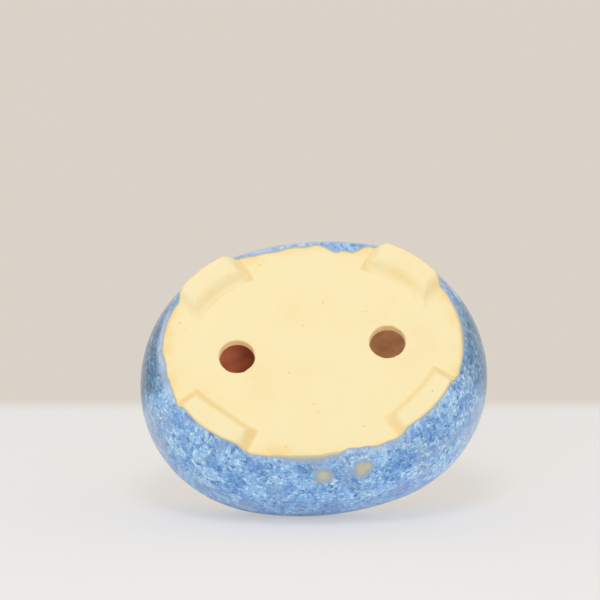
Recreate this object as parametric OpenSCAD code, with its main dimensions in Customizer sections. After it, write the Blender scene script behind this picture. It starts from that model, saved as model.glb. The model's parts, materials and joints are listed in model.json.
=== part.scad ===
// Oval bonsai pot: a flat clay base with two drain holes, a swelling wall that
// draws in at the mouth, four low feet and a coat of glaze over the outside.
// The frame has +Z up, with the undersides of the feet at z = 0. The long axis
// of the oval lies along X, and the front of the pot faces -Y.
// All sizes are in millimetres.

/* [Base] */
// Length of the flat base along X
base_long = 129; // [110:1:150]
// Width of the flat base along Y
base_wide = 102; // [80:1:110]
// Thickness of the base slab
slab_t = 4.5; // [3:0.1:8]

/* [Drain holes] */
// Diameter of each drain hole
drain_d = 15.2; // [8:0.2:20]
// Distance between the centres of the drain holes
drain_gap = 64.4; // [30:0.2:80]

/* [Wall] */
// Overhang of the widest line past the edge of the base
belly_out = 10.5; // [6:0.5:18]
// Height of the widest line above the underside of the base
flank_h = 31.5; // [22:0.5:45]
// Rise from the widest line to the top of the rim
shoulder_h = 15.5; // [10:0.5:25]
// How far the rim draws in from the widest line
mouth_in = 5.3; // [2:0.1:9]
// Thickness of the clay wall
wall_t = 5; // [3.5:0.1:7]

/* [Feet] */
// Height of the feet under the base
foot_h = 5; // [3:0.1:8]
// Length of each foot along the edge of the base, where it meets the base
foot_len = 39; // [24:0.5:42]
// Width of each foot where it meets the base
foot_w = 11.6; // [8:0.1:16]
// Direction of the middle of each foot, seen from the centre of its round end
foot_turn = 49; // [40:0.5:55]
// Run of the sloping inner side of a foot
foot_run = 4; // [1:0.1:6]
// Run of the sloping ends of a foot
foot_end_run = 4.5; // [0.5:0.1:6]
// Step from the edge of the base in to the outer side of a foot
foot_step = 0.8; // [0.8:0.1:2]

/* [Glaze] */
// Thickness of the glaze
glaze_t = 0.7; // [0.4:0.1:1.2]
// Distance that the glaze runs down inside the mouth, along the wall
glaze_in = 8; // [3:0.5:12]
// Bare clay left at the bottom of the outer side of each foot
glaze_bare = 0.8; // [0.4:0.1:1.5]

/* [Hidden] */
$fn = 96;

CLAY = "#f0dcaa";
FOOT_CLAY = "#f4e3b8";
GLAZE = "#6f9bd2";

// The oval is four arcs, each meeting the next without a corner: two round ends
// about points on X, and two flatter sides about points on Y. Their centres are
// set out on right triangles of sides 7, 24 and 25, whose longest side is rounded
// to SET_OUT, so that the arcs meet exactly.
MEET_X = 7 / 25;
MEET_Y = 24 / 25;
SET_OUT = 0.1;
side_more = SET_OUT * round((base_long - base_wide) / 2 / (MEET_X + MEET_Y - 1) / SET_OUT);
end_x = MEET_X * side_more;
side_y = MEET_Y * side_more;
end_r = base_long / 2 - end_x;
side_r = end_r + side_more;
end_half = atan2(side_y, end_x);

// Heights above the undersides of the feet
base_z = foot_h;
floor_z = base_z + slab_t;
belly_z = base_z + flank_h;

// The flank is one arc from the edge of the base to the widest line, and the
// shoulder is one arc from there to the rim. Both are upright at the widest line.
flank_r = (belly_out ^ 2 + flank_h ^ 2) / (2 * belly_out);
lip_r = wall_t / 2;
lip_rise = shoulder_h - lip_r - glaze_t;
mid_r = (lip_rise ^ 2 + mouth_in ^ 2) / (2 * mouth_in);
shoulder_r = mid_r + lip_r + glaze_t;
shoulder_turn = atan2(lip_rise, mid_r - mouth_in);

// Inside the mouth the glaze follows the shoulder, and then the flank if it runs further down
shoulder_in_r = mid_r - lip_r;
flank_in_r = flank_r - glaze_t - wall_t;
glaze_on_shoulder = min(glaze_in, shoulder_in_r * shoulder_turn * PI / 180);
glaze_on_flank = glaze_in - glaze_on_shoulder;
glaze_in_turn = glaze_on_shoulder / shoulder_in_r * 180 / PI;
glaze_flank_turn = glaze_on_flank / flank_in_r * 180 / PI;

// The slab is a rim swept round the oval, lapping over a plain middle
slab_rim = 4 * wall_t;
middle_r = end_r - slab_rim / 2;
middle_y = middle_r - wall_t / 2;

// Feet
foot_outer_r = end_r - foot_step;
foot_half = foot_len / foot_outer_r * 90 / PI;
foot_end_tilt = atan2(foot_end_run, foot_h);
FOOT_SIDES = [[-1, -1], [1, -1], [-1, 1], [1, 1]];

// Overlap that keeps cuts clear of the faces that they pass
cut = 1;
// Length that passes the whole pot
reach = base_long + 2 * belly_out;

// Sector of a ring, from the +X direction up to the angle turn
module ring_sector(inner_r, outer_r, turn) {
    intersection() {
        difference() {
            circle(r = outer_r);
            circle(r = inner_r);
        }
        polygon([[0, 0], 2 * outer_r * [1, 0], 2 * outer_r * [cos(turn), sin(turn)]]);
    }
}

// Band of the flank between two depths under the glaze's face, from z_low up to the widest line
module flank_band(deep, shallow, z_low) {
    intersection() {
        translate([belly_out - flank_r, belly_z])
            difference() {
                circle(r = flank_r - shallow);
                circle(r = flank_r - deep);
            }
        translate([belly_out - flank_r, z_low])
            square([flank_r + cut, belly_z - z_low]);
    }
}

// Draws a shape in all four quarters of the oval
module in_quarters() {
    for (x_flip = [0, 1], y_flip = [0, 1])
        mirror([x_flip, 0, 0])
            mirror([0, y_flip, 0])
                children();
}

// Sweeps a section round an end of the oval, from where it meets a side as far as the long axis
module round_end() {
    intersection() {
        translate([end_x, 0, 0])
            rotate(-end_half)
                rotate_extrude(angle = 90)
                    children();
        translate([0, -reach, -cut])
            cube([reach, reach, reach]);
    }
}

// Sweeps a section round a side of the oval, from where it meets an end as far as the short axis
module round_side() {
    intersection() {
        translate([0, side_y, 0])
            rotate(180 + end_half)
                rotate_extrude(angle = 90)
                    children();
        translate([-reach, -reach, -cut])
            cube([reach, reach, reach]);
    }
}

// Sweeps a section round the whole oval. The section's x is its distance out from
// the edge of the base, so it is set out anew at the radius of each arc.
module round_oval() {
    in_quarters() {
        round_end()
            translate([end_r, 0])
                children();
        round_side()
            translate([side_r, 0])
                children();
    }
}

// Section of the slab's rim, which ends in the curve of the flank
module slab_section() {
    intersection() {
        translate([belly_out - flank_r, belly_z])
            circle(r = flank_r - glaze_t);
        translate([-slab_rim, base_z])
            square([slab_rim + belly_out, slab_t]);
    }
}

// Plain middle of the slab, which runs under its rim
module slab_middle() {
    translate([0, 0, base_z]) {
        for (side = [-1, 1])
            translate([side * end_x, 0, 0])
                cylinder(r = middle_r, h = slab_t);
        translate([-end_x, -middle_y, 0])
            cube([2 * end_x, 2 * middle_y, slab_t]);
    }
}

module base_slab() {
    color(CLAY)
        difference() {
            union() {
                round_oval()
                    slab_section();
                slab_middle();
            }
            for (side = [-1, 1])
                translate([side * drain_gap / 2, 0, base_z - cut])
                    cylinder(d = drain_d, h = slab_t + 2 * cut);
        }
}

// Section of the clay wall, from its seat on the slab to the rounded rim
module wall_section() {
    flank_band(glaze_t + wall_t, glaze_t, floor_z);
    translate([belly_out - shoulder_r, belly_z]) {
        ring_sector(shoulder_in_r, shoulder_in_r + wall_t, shoulder_turn);
        rotate(shoulder_turn)
            translate([mid_r, 0])
                circle(r = lip_r);
    }
}

module pot_wall() {
    color(CLAY)
        round_oval()
            wall_section();
}

// Section of the glaze: down the outside to the base, over the rim and a little way inside
module glaze_section() {
    flank_band(glaze_t, 0, base_z);
    translate([belly_out - shoulder_r, belly_z]) {
        ring_sector(shoulder_r - glaze_t, shoulder_r, shoulder_turn);
        rotate(shoulder_turn) {
            intersection() {
                translate([mid_r, 0])
                    difference() {
                        circle(r = lip_r + glaze_t);
                        circle(r = lip_r);
                    }
                translate([shoulder_in_r - glaze_t - cut, 0])
                    square([wall_t + 2 * glaze_t + 2 * cut, lip_r + glaze_t + cut]);
            }
            rotate(-glaze_in_turn)
                ring_sector(shoulder_in_r - glaze_t, shoulder_in_r, glaze_in_turn);
        }
    }
    if (glaze_on_flank > 0)
        translate([belly_out - flank_r, belly_z])
            rotate(-glaze_flank_turn)
                ring_sector(flank_in_r - glaze_t, flank_in_r, glaze_flank_turn);
}

// Turns a shape about the centre of a round end to the place of one foot
module at_foot(side) {
    mirror([side.x < 0 ? 1 : 0, 0, 0])
        mirror([0, side.y < 0 ? 1 : 0, 0])
            translate([end_x, 0, 0])
                rotate(foot_turn)
                    children();
}

// Sweeps a section along a foot and slopes its two ends
module along_foot() {
    difference() {
        rotate(-foot_half)
            rotate_extrude(angle = 2 * foot_half)
                children();
        for (end = [0, 1])
            mirror([0, end, 0])
                rotate(foot_half)
                    translate([0, 0, base_z])
                        rotate([-foot_end_tilt, 0, 0])
                            translate([0, 0, -2 * foot_h])
                                cube([end_r, foot_len, 4 * foot_h]);
    }
}

// Clay pad of one foot: level underneath, upright outside and sloping inside
module foot_pad(side) {
    at_foot(side)
        along_foot()
            polygon([
                [foot_outer_r, 0],
                [foot_outer_r, foot_h],
                [foot_outer_r - foot_w, foot_h],
                [foot_outer_r - foot_w + foot_run, 0],
            ]);
}

module front_left_foot() {
    color(FOOT_CLAY)
        foot_pad(FOOT_SIDES[0]);
}

module front_right_foot() {
    color(FOOT_CLAY)
        foot_pad(FOOT_SIDES[1]);
}

module rear_left_foot() {
    color(FOOT_CLAY)
        foot_pad(FOOT_SIDES[2]);
}

module rear_right_foot() {
    color(FOOT_CLAY)
        foot_pad(FOOT_SIDES[3]);
}

module glaze_coat() {
    color(GLAZE) {
        round_oval()
            glaze_section();
        for (side = FOOT_SIDES)
            at_foot(side)
                along_foot()
                    translate([foot_outer_r, glaze_bare])
                        square([glaze_t, foot_h - glaze_bare]);
    }
}

base_slab();
pot_wall();
front_left_foot();
front_right_foot();
rear_left_foot();
rear_right_foot();
glaze_coat();
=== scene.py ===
"""Looks of an oval bonsai pot: a bare clay base on four low feet, under a coat of mottled blue glaze.

The pot stands upright in its own frame, with its feet at z = 0, its long axis along X and its front
towards -Y. The camera looks up at the underside from the front, so the table of that view is tipped
against the front of the rim, and a level floor under the feet serves every other view. All sizes are
in metres.
"""

import json
import logging
import math
from dataclasses import dataclass
from enum import Enum
from functools import cached_property
from typing import NamedTuple

import bmesh
import bpy
from mathutils import Matrix, Vector, noise


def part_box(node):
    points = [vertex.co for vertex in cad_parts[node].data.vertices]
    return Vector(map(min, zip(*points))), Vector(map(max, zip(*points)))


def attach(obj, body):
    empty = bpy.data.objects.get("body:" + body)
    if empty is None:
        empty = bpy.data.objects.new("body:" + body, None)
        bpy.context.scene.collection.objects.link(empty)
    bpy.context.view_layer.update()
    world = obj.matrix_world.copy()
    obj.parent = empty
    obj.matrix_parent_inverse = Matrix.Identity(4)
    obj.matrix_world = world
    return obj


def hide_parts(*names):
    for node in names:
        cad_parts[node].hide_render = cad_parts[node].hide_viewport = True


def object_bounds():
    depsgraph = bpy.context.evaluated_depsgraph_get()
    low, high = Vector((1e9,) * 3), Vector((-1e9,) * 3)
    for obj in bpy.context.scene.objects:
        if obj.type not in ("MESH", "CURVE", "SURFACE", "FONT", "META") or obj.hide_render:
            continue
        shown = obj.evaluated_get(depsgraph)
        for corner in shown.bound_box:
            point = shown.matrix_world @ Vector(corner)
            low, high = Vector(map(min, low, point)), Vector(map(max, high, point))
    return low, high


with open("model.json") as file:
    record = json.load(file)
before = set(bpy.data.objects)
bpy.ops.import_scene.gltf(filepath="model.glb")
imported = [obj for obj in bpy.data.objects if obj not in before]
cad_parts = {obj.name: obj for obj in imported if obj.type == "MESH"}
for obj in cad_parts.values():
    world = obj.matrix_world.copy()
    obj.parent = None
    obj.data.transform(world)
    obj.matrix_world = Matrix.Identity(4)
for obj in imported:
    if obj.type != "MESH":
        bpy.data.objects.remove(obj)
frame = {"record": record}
CAD_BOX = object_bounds()

MM = 0.001
PICTURE_SIDE = 600
BODY = "root"
WELD = 0.002 * MM
MEETING_SLACK = 1.000001

log = logging.getLogger("bonsai_pot")

Colour = tuple[float, float, float]
Socket = bpy.types.NodeSocket
Value = float | Colour | Socket


class Slot(Enum):
    """Material slots of the record."""

    CLAY = "bare_clay"
    GLAZE = "blue_glaze"


class Corner(Enum):
    """Feet, by the signs of their X and Y."""

    FRONT_LEFT = (-1, -1)
    FRONT_RIGHT = (1, -1)
    REAR_LEFT = (-1, 1)
    REAR_RIGHT = (1, 1)

    @property
    def node(self) -> str:
        """Name of the foot's node."""
        return f"{self.name.lower()}_foot"


class Layer(Enum):
    """Uses of the soft random value, each with the number that keeps it apart from the others."""

    BASE_SWELL = 3.0
    FOOT_WAVE = 5.0
    FOOT_FLASH = 7.0
    DRAIN_WEAR = 9.0
    BASE_FLASH = 11.0
    RING_WOBBLE = 13.0
    WALL_SWELL = 17.0
    EDGE_LAP = 21.0
    EDGE_RUN = 23.0
    FOOT_HEM = 25.0
    MOUTH_HEM = 27.0
    COAT = 31.0
    SPOT_HEM = 33.0
    BLOOM = 35.0
    POOL_HEM = 37.0


def smooth(value: float) -> float:
    """Eases a value between 0 and 1, and holds it there outside that span."""
    value = min(max(value, 0.0), 1.0)
    return value * value * (3 - 2 * value)


def mottle(place: Vector, grain: float, layer: Layer, octaves: int = 2) -> float:
    """Gives a soft random value, from about -1 to 1, in patches of the size of the grain."""
    shift = layer.value
    return noise.fractal(place / grain + Vector((shift, -shift, 2 * shift)), 1.0, 2.0, octaves)


class Spot(NamedTuple):
    """Point of a section, with the way that its surface faces, as (out, up)."""

    place: Vector
    facing: Vector


@dataclass(frozen=True)
class Straight:
    """Straight stretch of a section, whose surface faces to the right of its run."""

    start: Vector
    end: Vector

    @property
    def length(self) -> float:
        """Length of the stretch."""
        return (self.end - self.start).length

    def at(self, distance: float) -> Spot:
        """Finds the spot at a distance along the stretch."""
        run = (self.end - self.start).normalized()
        return Spot(self.start + run * distance, Vector((run.y, -run.x)))


@dataclass(frozen=True)
class Arc:
    """Round stretch of a section, whose surface faces away from its centre, or to it where facing is -1."""

    centre: Vector
    radius: float
    start: float
    end: float
    facing: float = 1.0

    @property
    def length(self) -> float:
        """Length along the arc."""
        return self.radius * abs(self.end - self.start)

    def at(self, distance: float) -> Spot:
        """Finds the spot at a distance along the arc.

        Args:
            distance: Length along the arc from its start.

        Returns:
            The spot.
        """
        turn = self.start + (self.end - self.start) * distance / self.length
        spoke = Vector((math.cos(turn), math.sin(turn)))
        return Spot(self.centre + spoke * self.radius, spoke * self.facing)


@dataclass(frozen=True)
class Bend:
    """Soft bend between two points, drawn towards a corner, whose surface faces to the right of its run."""

    start: Vector
    corner: Vector
    end: Vector

    def at(self, share: float) -> Spot:
        """Finds the spot at a share of the way round the bend.

        Args:
            share: Share of the way, from 0 to 1.

        Returns:
            The spot.
        """
        first = self.start.lerp(self.corner, share)
        second = self.corner.lerp(self.end, share)
        run = (second - first).normalized()
        return Spot(first.lerp(second, share), Vector((run.y, -run.x)))


@dataclass(frozen=True)
class Section:
    """Stretches laid end to end, with distances counted from zero."""

    stretches: tuple[Straight | Arc, ...]
    zero: float = 0.0

    def at(self, distance: float) -> Spot:
        """Finds the spot at a distance along the section.

        Args:
            distance: Length along the section from its zero, which may be negative.

        Returns:
            The spot, on the run of the first or last stretch where the distance passes an end.
        """
        left = distance + self.zero
        for stretch in self.stretches[:-1]:
            if left <= stretch.length:
                return stretch.at(left)
            left -= stretch.length
        return self.stretches[-1].at(left)

    def mark(self, count: int) -> float:
        """Gives the distance at which the stretch after the first count begins."""
        return sum(stretch.length for stretch in self.stretches[:count]) - self.zero


class Station(NamedTuple):
    """Where a point lies about the oval: on the base's edge, how far out of it, and which way is out."""

    edge: Vector
    offset: float
    out: Vector

    def put(self, place: Vector) -> Vector:
        """Turns a place of the section, as (out, up), into a point of the pot."""
        flat = self.edge + self.out * place.x
        return Vector((flat.x, flat.y, place.y))


@dataclass(frozen=True)
class Oval:
    """Oval of two round ends and two flatter sides, which meet without a corner."""

    end_x: float
    end_r: float
    side_y: float
    side_r: float

    @property
    def end_half(self) -> float:
        """Half the angle of a round end."""
        return math.atan2(self.side_y, self.end_x)

    def sweep(self, bm: bmesh.types.BMesh, end_steps: int, side_steps: int) -> None:
        """Sweeps all that a mesh holds, drawn out along +X from the edge of the base, round the oval.

        Args:
            bm: Mesh with one section in it, whose x is the distance out from the edge of the base.
            end_steps: Count of steps round each end.
            side_steps: Count of steps round each side.
        """
        start = Matrix.Translation((self.end_x, 0, 0)) @ Matrix.Rotation(-self.end_half, 4, "Z")
        start = start @ Matrix.Translation((self.end_r, 0, 0))
        bmesh.ops.transform(bm, matrix=start, verts=bm.verts)
        ring = list(bm.verts) + list(bm.edges)
        side_half = math.pi / 2 - self.end_half
        for sign in (1, -1):
            for centre, half, steps in (
                ((sign * self.end_x, 0, 0), self.end_half, end_steps),
                ((0, -sign * self.side_y, 0), side_half, side_steps),
            ):
                spun = bmesh.ops.spin(
                    bm, geom=ring, cent=centre, axis=(0, 0, 1), angle=2 * half, steps=steps
                )
                ring = spun["geom_last"]

    def locate(self, point: Vector) -> Station:
        """Finds where a point lies about the oval.

        Args:
            point: Point of the pot.

        Returns:
            Its station.
        """
        along = abs(point.x) - self.end_x
        if along > 0 and abs(point.y) <= along * math.tan(self.end_half) * MEETING_SLACK:
            centre = Vector((math.copysign(self.end_x, point.x), 0))
            radius = self.end_r
        else:
            centre = Vector((0, -math.copysign(self.side_y, point.y)))
            radius = self.side_r
        spoke = point.xy - centre
        out = spoke.normalized()
        return Station(centre + out * radius, spoke.length - radius, out)


@dataclass(frozen=True)
class PotForm:
    """Sizes of the pot, and the curves that follow from them."""

    belly_out: float = 10.5 * MM
    flank_h: float = 31.5 * MM
    mouth_in: float = 5.3 * MM
    wall_t: float = 5 * MM
    glaze_t: float = 0.7 * MM
    edge_r: float = 0.8 * MM
    cove_r: float = 3 * MM
    swell_rise: float = 0.12 * MM
    swell_grain: float = 16 * MM
    level_hem: float = 3 * MM
    swell_run: float = 8 * MM
    half_long: float = CAD_BOX[1].x
    half_wide: float = CAD_BOX[1].y
    rim_z: float = CAD_BOX[1].z
    base_z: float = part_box("base_slab")[0].z
    floor_z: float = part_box("base_slab")[1].z

    @cached_property
    def belly_z(self) -> float:
        """Height of the widest line."""
        return self.base_z + self.flank_h

    @cached_property
    def oval(self) -> Oval:
        """Edge of the base, set out on right triangles of sides 7, 24 and 25.

        Returns:
            The oval.
        """
        side_more = (self.half_long - self.half_wide) / (7 / 25 + 24 / 25 - 1)
        end_x = side_more * 7 / 25
        end_r = self.half_long - self.belly_out - end_x
        return Oval(end_x, end_r, side_more * 24 / 25, end_r + side_more)

    @cached_property
    def flank_r(self) -> float:
        """Radius of the flank's glazed face."""
        return (self.belly_out ** 2 + self.flank_h ** 2) / (2 * self.belly_out)

    @cached_property
    def flank_centre(self) -> Vector:
        """Centre of the flank's curve, as (out, up)."""
        return Vector((self.belly_out - self.flank_r, self.belly_z))

    @cached_property
    def shoulder(self) -> tuple[Vector, float, float]:
        """Curve of the shoulder, above the widest line.

        Returns:
            Its centre, its middle radius and the angle that it turns through.
        """
        lip = self.wall_t / 2 + self.glaze_t
        rise = self.rim_z - lip - self.belly_z
        middle = (rise ** 2 + self.mouth_in ** 2) / (2 * self.mouth_in)
        centre = Vector((self.belly_out - middle - lip, self.belly_z))
        return centre, middle, math.atan2(rise, middle - self.mouth_in)

    def flank_turn(self, depth: float, height: float) -> float:
        """Angle about the flank's centre at which a face of that depth has that height."""
        return -math.asin((self.belly_z - height) / (self.flank_r - depth))

    def tuck(self, depth: float, height: float, radius: float) -> tuple[Vector, float]:
        """Sets a small round where a face of the flank meets a level face below it.

        Args:
            depth: Depth of the flank's face under the glaze's face.
            height: Height of the level face.
            radius: Radius of the round.

        Returns:
            Its centre, and the angle at which it runs into the flank.
        """
        reach = self.flank_r - depth - radius
        drop = height + radius - self.belly_z
        across = math.sqrt(reach ** 2 - drop ** 2)
        return self.flank_centre + Vector((across, drop)), math.atan2(drop, across)

    @cached_property
    def skin(self) -> Section:
        """Face of the clay: in from under the base, round its edge, up, over the rim and down to the floor.

        Returns:
            The section, whose zero is where the underside starts to turn up.
        """
        centre, middle, turn = self.shoulder
        half = self.wall_t / 2
        round_in, edge_turn = self.tuck(self.glaze_t, self.base_z, self.edge_r)
        cove_in, cove_turn = self.tuck(self.glaze_t + self.wall_t, self.floor_z, self.cove_r)
        under = Vector((round_in.x, self.base_z))
        inward = Vector((self.oval.end_r / 2, 0))
        lip = centre + Vector((math.cos(turn), math.sin(turn))) * middle
        stretches = (
            Straight(under - inward, under),
            Arc(round_in, self.edge_r, -math.pi / 2, edge_turn),
            Arc(self.flank_centre, self.flank_r - self.glaze_t, edge_turn, 0),
            Arc(centre, middle + half, 0, turn),
            Arc(lip, half, turn, turn + math.pi),
            Arc(centre, middle - half, turn, 0, -1),
            Arc(self.flank_centre, self.flank_r - self.glaze_t - self.wall_t, 0, cove_turn, -1),
            Arc(cove_in, self.cove_r, cove_turn, -math.pi / 2, -1),
        )
        return Section(stretches, inward.x)

    @cached_property
    def drains(self) -> list[tuple[Vector, float]]:
        """Middle and radius of each drain hole, from the part's own mounts."""
        mounts = [m for m in frame["record"]["mounts"] if m["name"].endswith("_drain")]
        return [(Vector(m["pos_m"]).xy, m["dims"]["r_mm"] * MM) for m in mounts]

    def swell(self, flat: Vector) -> float:
        """Gives the slight unevenness of the underside, which dies out at the edge of the base.

        Args:
            flat: Point of the underside.

        Returns:
            Height to add there.
        """
        station = self.oval.locate(flat)
        inside = smooth((-station.offset - self.level_hem) / self.swell_run)
        wave = mottle(Vector((flat.x, flat.y, 0)), self.swell_grain, Layer.BASE_SWELL)
        return self.swell_rise * inside * wave


def finish_mesh(
    name: str, bm: bmesh.types.BMesh, finish: "Finish", node: str, slot: Slot
) -> bpy.types.Object:
    """Welds a mesh, makes it a piece of the pot and dresses it.

    Args:
        name: Name of the piece.
        bm: Its mesh, which is used up.
        finish: Finish that it wears.
        node: Node that it stands for.
        slot: Not used.

    Returns:
        The piece.
    """
    bmesh.ops.remove_doubles(bm, verts=bm.verts, dist=WELD)
    bmesh.ops.dissolve_degenerate(bm, edges=bm.edges, dist=WELD)
    bmesh.ops.recalc_face_normals(bm, faces=bm.faces)
    for face in bm.faces:
        face.smooth = True
    mesh = bpy.data.meshes.new(name)
    bm.to_mesh(mesh)
    bm.free()
    mesh.materials.append(finish.material)
    piece = bpy.data.objects.new(name, mesh)
    bpy.context.collection.objects.link(piece)
    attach(piece, BODY)
    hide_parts(node)
    return piece


class Graph:
    """Node tree that is being wired."""

    def __init__(self, tree: bpy.types.NodeTree) -> None:
        """Takes the tree to wire."""
        self.tree = tree

    def node(self, kind: str, inputs: dict | None = None, **settings: object) -> bpy.types.Node:
        """Adds a node.

        Args:
            kind: Type of the node.
            inputs: Values or sockets for its inputs, by name or number.
            settings: Values for its properties.

        Returns:
            The node.
        """
        made = self.tree.nodes.new(kind)
        for name, value in settings.items():
            setattr(made, name, value)
        for key, value in (inputs or {}).items():
            if isinstance(value, Socket):
                self.tree.links.new(value, made.inputs[key])
            elif isinstance(value, tuple) and len(value) == 3 and made.inputs[key].type == "RGBA":
                made.inputs[key].default_value = (*value, 1.0)
            else:
                made.inputs[key].default_value = value
        return made

    def noise(self, vector: Socket, grain: float, detail: float = 2, rough: float = 0.55) -> Socket:
        """Adds a noise of a grain size and gives its value."""
        inputs = {"Vector": vector, "Scale": 1 / grain, "Detail": detail, "Roughness": rough}
        return self.node("ShaderNodeTexNoise", inputs).outputs["Fac"]

    def span(
        self, value: Socket, low: float, high: float, to_low: float = 0, to_high: float = 1
    ) -> Socket:
        """Maps a value smoothly from one span to another, and holds it there outside that span.

        Args:
            value: Value to map.
            low: Where its span starts.
            high: Where its span ends, which may be under the start.
            to_low: Value at the start.
            to_high: Value at the end.

        Returns:
            The mapped value.
        """
        inputs = {"Value": value, "From Min": low, "From Max": high, "To Min": to_low, "To Max": to_high}
        made = self.node("ShaderNodeMapRange", inputs, interpolation_type="SMOOTHSTEP")
        return made.outputs["Result"]

    def math(self, kind: str, first: Value, second: Value) -> Socket:
        """Adds a sum, product or other operation on two values."""
        return self.node("ShaderNodeMath", {0: first, 1: second}, operation=kind).outputs[0]

    def stretch(self, vector: Socket, by: tuple[float, float, float], shift: float = 0.0) -> Socket:
        """Scales a vector along each axis and shifts it."""
        inputs = {0: vector, 1: by, 2: (shift, shift, shift)}
        return self.node("ShaderNodeVectorMath", inputs, operation="MULTIPLY_ADD").outputs[0]

    def mix(self, amount: Value, first: Value, second: Value) -> Socket:
        """Mixes two colours."""
        inputs = {0: amount, 6: first, 7: second}
        return self.node("ShaderNodeMix", inputs, data_type="RGBA").outputs[2]

    def one_sided(self, front: Socket, fade: Socket | None = None) -> Socket:
        """Makes a surface clear from behind.

        Args:
            front: Shader of its front.
            fade: Share of the front that is clear too, if any.

        Returns:
            Shader of both sides.
        """
        clear = self.node("ShaderNodeBsdfTransparent").outputs[0]
        hidden = self.node("ShaderNodeNewGeometry").outputs["Backfacing"]
        if fade is not None:
            hidden = self.math("MAXIMUM", hidden, fade)
        return self.node("ShaderNodeMixShader", {0: hidden, 1: front, 2: clear}).outputs[0]


@dataclass(frozen=True)
class FiredClay:
    """Node group for fired clay: grainy, with a few dark specks, and warmer where its flash input says so,
    which holds the fire's flash and painted shade.
    """

    name: str = "fired_clay"
    patch_grain: float = 18 * MM
    grit: float = 0.45 * MM
    speck_gap: float = 3.2 * MM
    speck_patch: float = 9 * MM
    patch_warmth: float = 0.22
    speck_cover: float = 0.6
    grit_cover: float = 0.16
    sockets: tuple[tuple[str, str, str], ...] = (
        ("Place", "NodeSocketVector", "INPUT"),
        ("Body", "NodeSocketColor", "INPUT"),
        ("Warm", "NodeSocketColor", "INPUT"),
        ("Toast", "NodeSocketColor", "INPUT"),
        ("Speck", "NodeSocketColor", "INPUT"),
        ("Flash", "NodeSocketFloat", "INPUT"),
        ("Color", "NodeSocketColor", "OUTPUT"),
        ("Height", "NodeSocketFloat", "OUTPUT"),
    )

    @cached_property
    def tree(self) -> bpy.types.NodeTree:
        """Nodes of the group, made once.

        Returns:
            The group.
        """
        tree = bpy.data.node_groups.new(self.name, "ShaderNodeTree")
        for label, kind, way in self.sockets:
            tree.interface.new_socket(label, in_out=way, socket_type=kind)
        graph = Graph(tree)
        given = graph.node("NodeGroupInput").outputs
        place = given["Place"]
        broad = graph.noise(place, self.patch_grain, 3)
        fine = graph.noise(place, self.grit, 3, 0.7)
        cells = graph.node("ShaderNodeTexVoronoi", {"Vector": place, "Scale": 1 / self.speck_gap})
        where = graph.noise(place, self.speck_patch, 1)
        patchy = graph.math("MULTIPLY", graph.span(broad, 0.40, 0.75), self.patch_warmth)
        # The input holds the fire's flash and painted shade.
        warmth_and_shade = graph.math("ADD", given["Flash"], patchy)
        body = graph.mix(graph.span(warmth_and_shade, 0.0, 0.5), given["Body"], given["Warm"])
        body = graph.mix(graph.span(warmth_and_shade, 0.5, 1.0), body, given["Toast"])
        near = graph.span(cells.outputs["Distance"], 0.15, 0.05)
        speck = graph.math("MULTIPLY", near, graph.span(where, 0.60, 0.68))
        color = graph.mix(graph.math("MULTIPLY", speck, self.speck_cover), body, given["Speck"])
        grainy = graph.mix(graph.span(fine, 0.35, 0.7, 0.0, self.grit_cover), color, given["Warm"])
        height = graph.math("SUBTRACT", fine, speck)
        graph.node("NodeGroupOutput", {"Color": grainy, "Height": height})
        return tree


FIRED_CLAY = FiredClay()


class Finish:
    """Finish that a piece can wear."""

    name: str

    @cached_property
    def material(self) -> bpy.types.Material:
        """Material of the finish, made once.

        Returns:
            The material.
        """
        made = bpy.data.materials.new(self.name)
        made.use_nodes = True
        made.node_tree.nodes.clear()
        graph = Graph(made.node_tree)
        graph.node("ShaderNodeOutputMaterial", {"Surface": self.surface(graph)})
        return made

    def surface(self, graph: Graph) -> Socket:
        """Wires the finish and gives its shader."""
        raise NotImplementedError


@dataclass(frozen=True)
class ClayFinish(Finish):
    """Bare fired clay, which turns warm tan where its attribute says so: the fire's flash, with painted shade
    on the feet and in the drain bores.
    """

    name: str
    body: Colour = (0.955, 0.835, 0.50)
    warm: Colour = (0.95, 0.735, 0.355)
    toast: Colour = (0.86, 0.575, 0.32)
    speck: Colour = (0.30, 0.20, 0.10)
    roughness: tuple[float, float] = (0.92, 0.76)
    relief: float = 0.06 * MM

    def surface(self, graph: Graph) -> Socket:
        """Wires the clay.

        Args:
            graph: Nodes of the material.

        Returns:
            Its shader.
        """
        place = graph.node("ShaderNodeTexCoord").outputs["Object"]
        flash = graph.node("ShaderNodeAttribute", attribute_name="flash").outputs["Fac"]
        inputs = {
            "Place": place,
            "Body": self.body,
            "Warm": self.warm,
            "Toast": self.toast,
            "Speck": self.speck,
            "Flash": flash,
        }
        clay = graph.node("ShaderNodeGroup", inputs, node_tree=FIRED_CLAY.tree)
        bump = graph.node("ShaderNodeBump", {"Height": clay.outputs["Height"], "Distance": self.relief})
        inputs = {
            "Base Color": clay.outputs["Color"],
            "Roughness": graph.span(clay.outputs["Height"], 0.3, 0.7, *self.roughness),
            "Normal": bump.outputs["Normal"],
        }
        return graph.node("ShaderNodeBsdfPrincipled", inputs).outputs[0]


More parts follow.
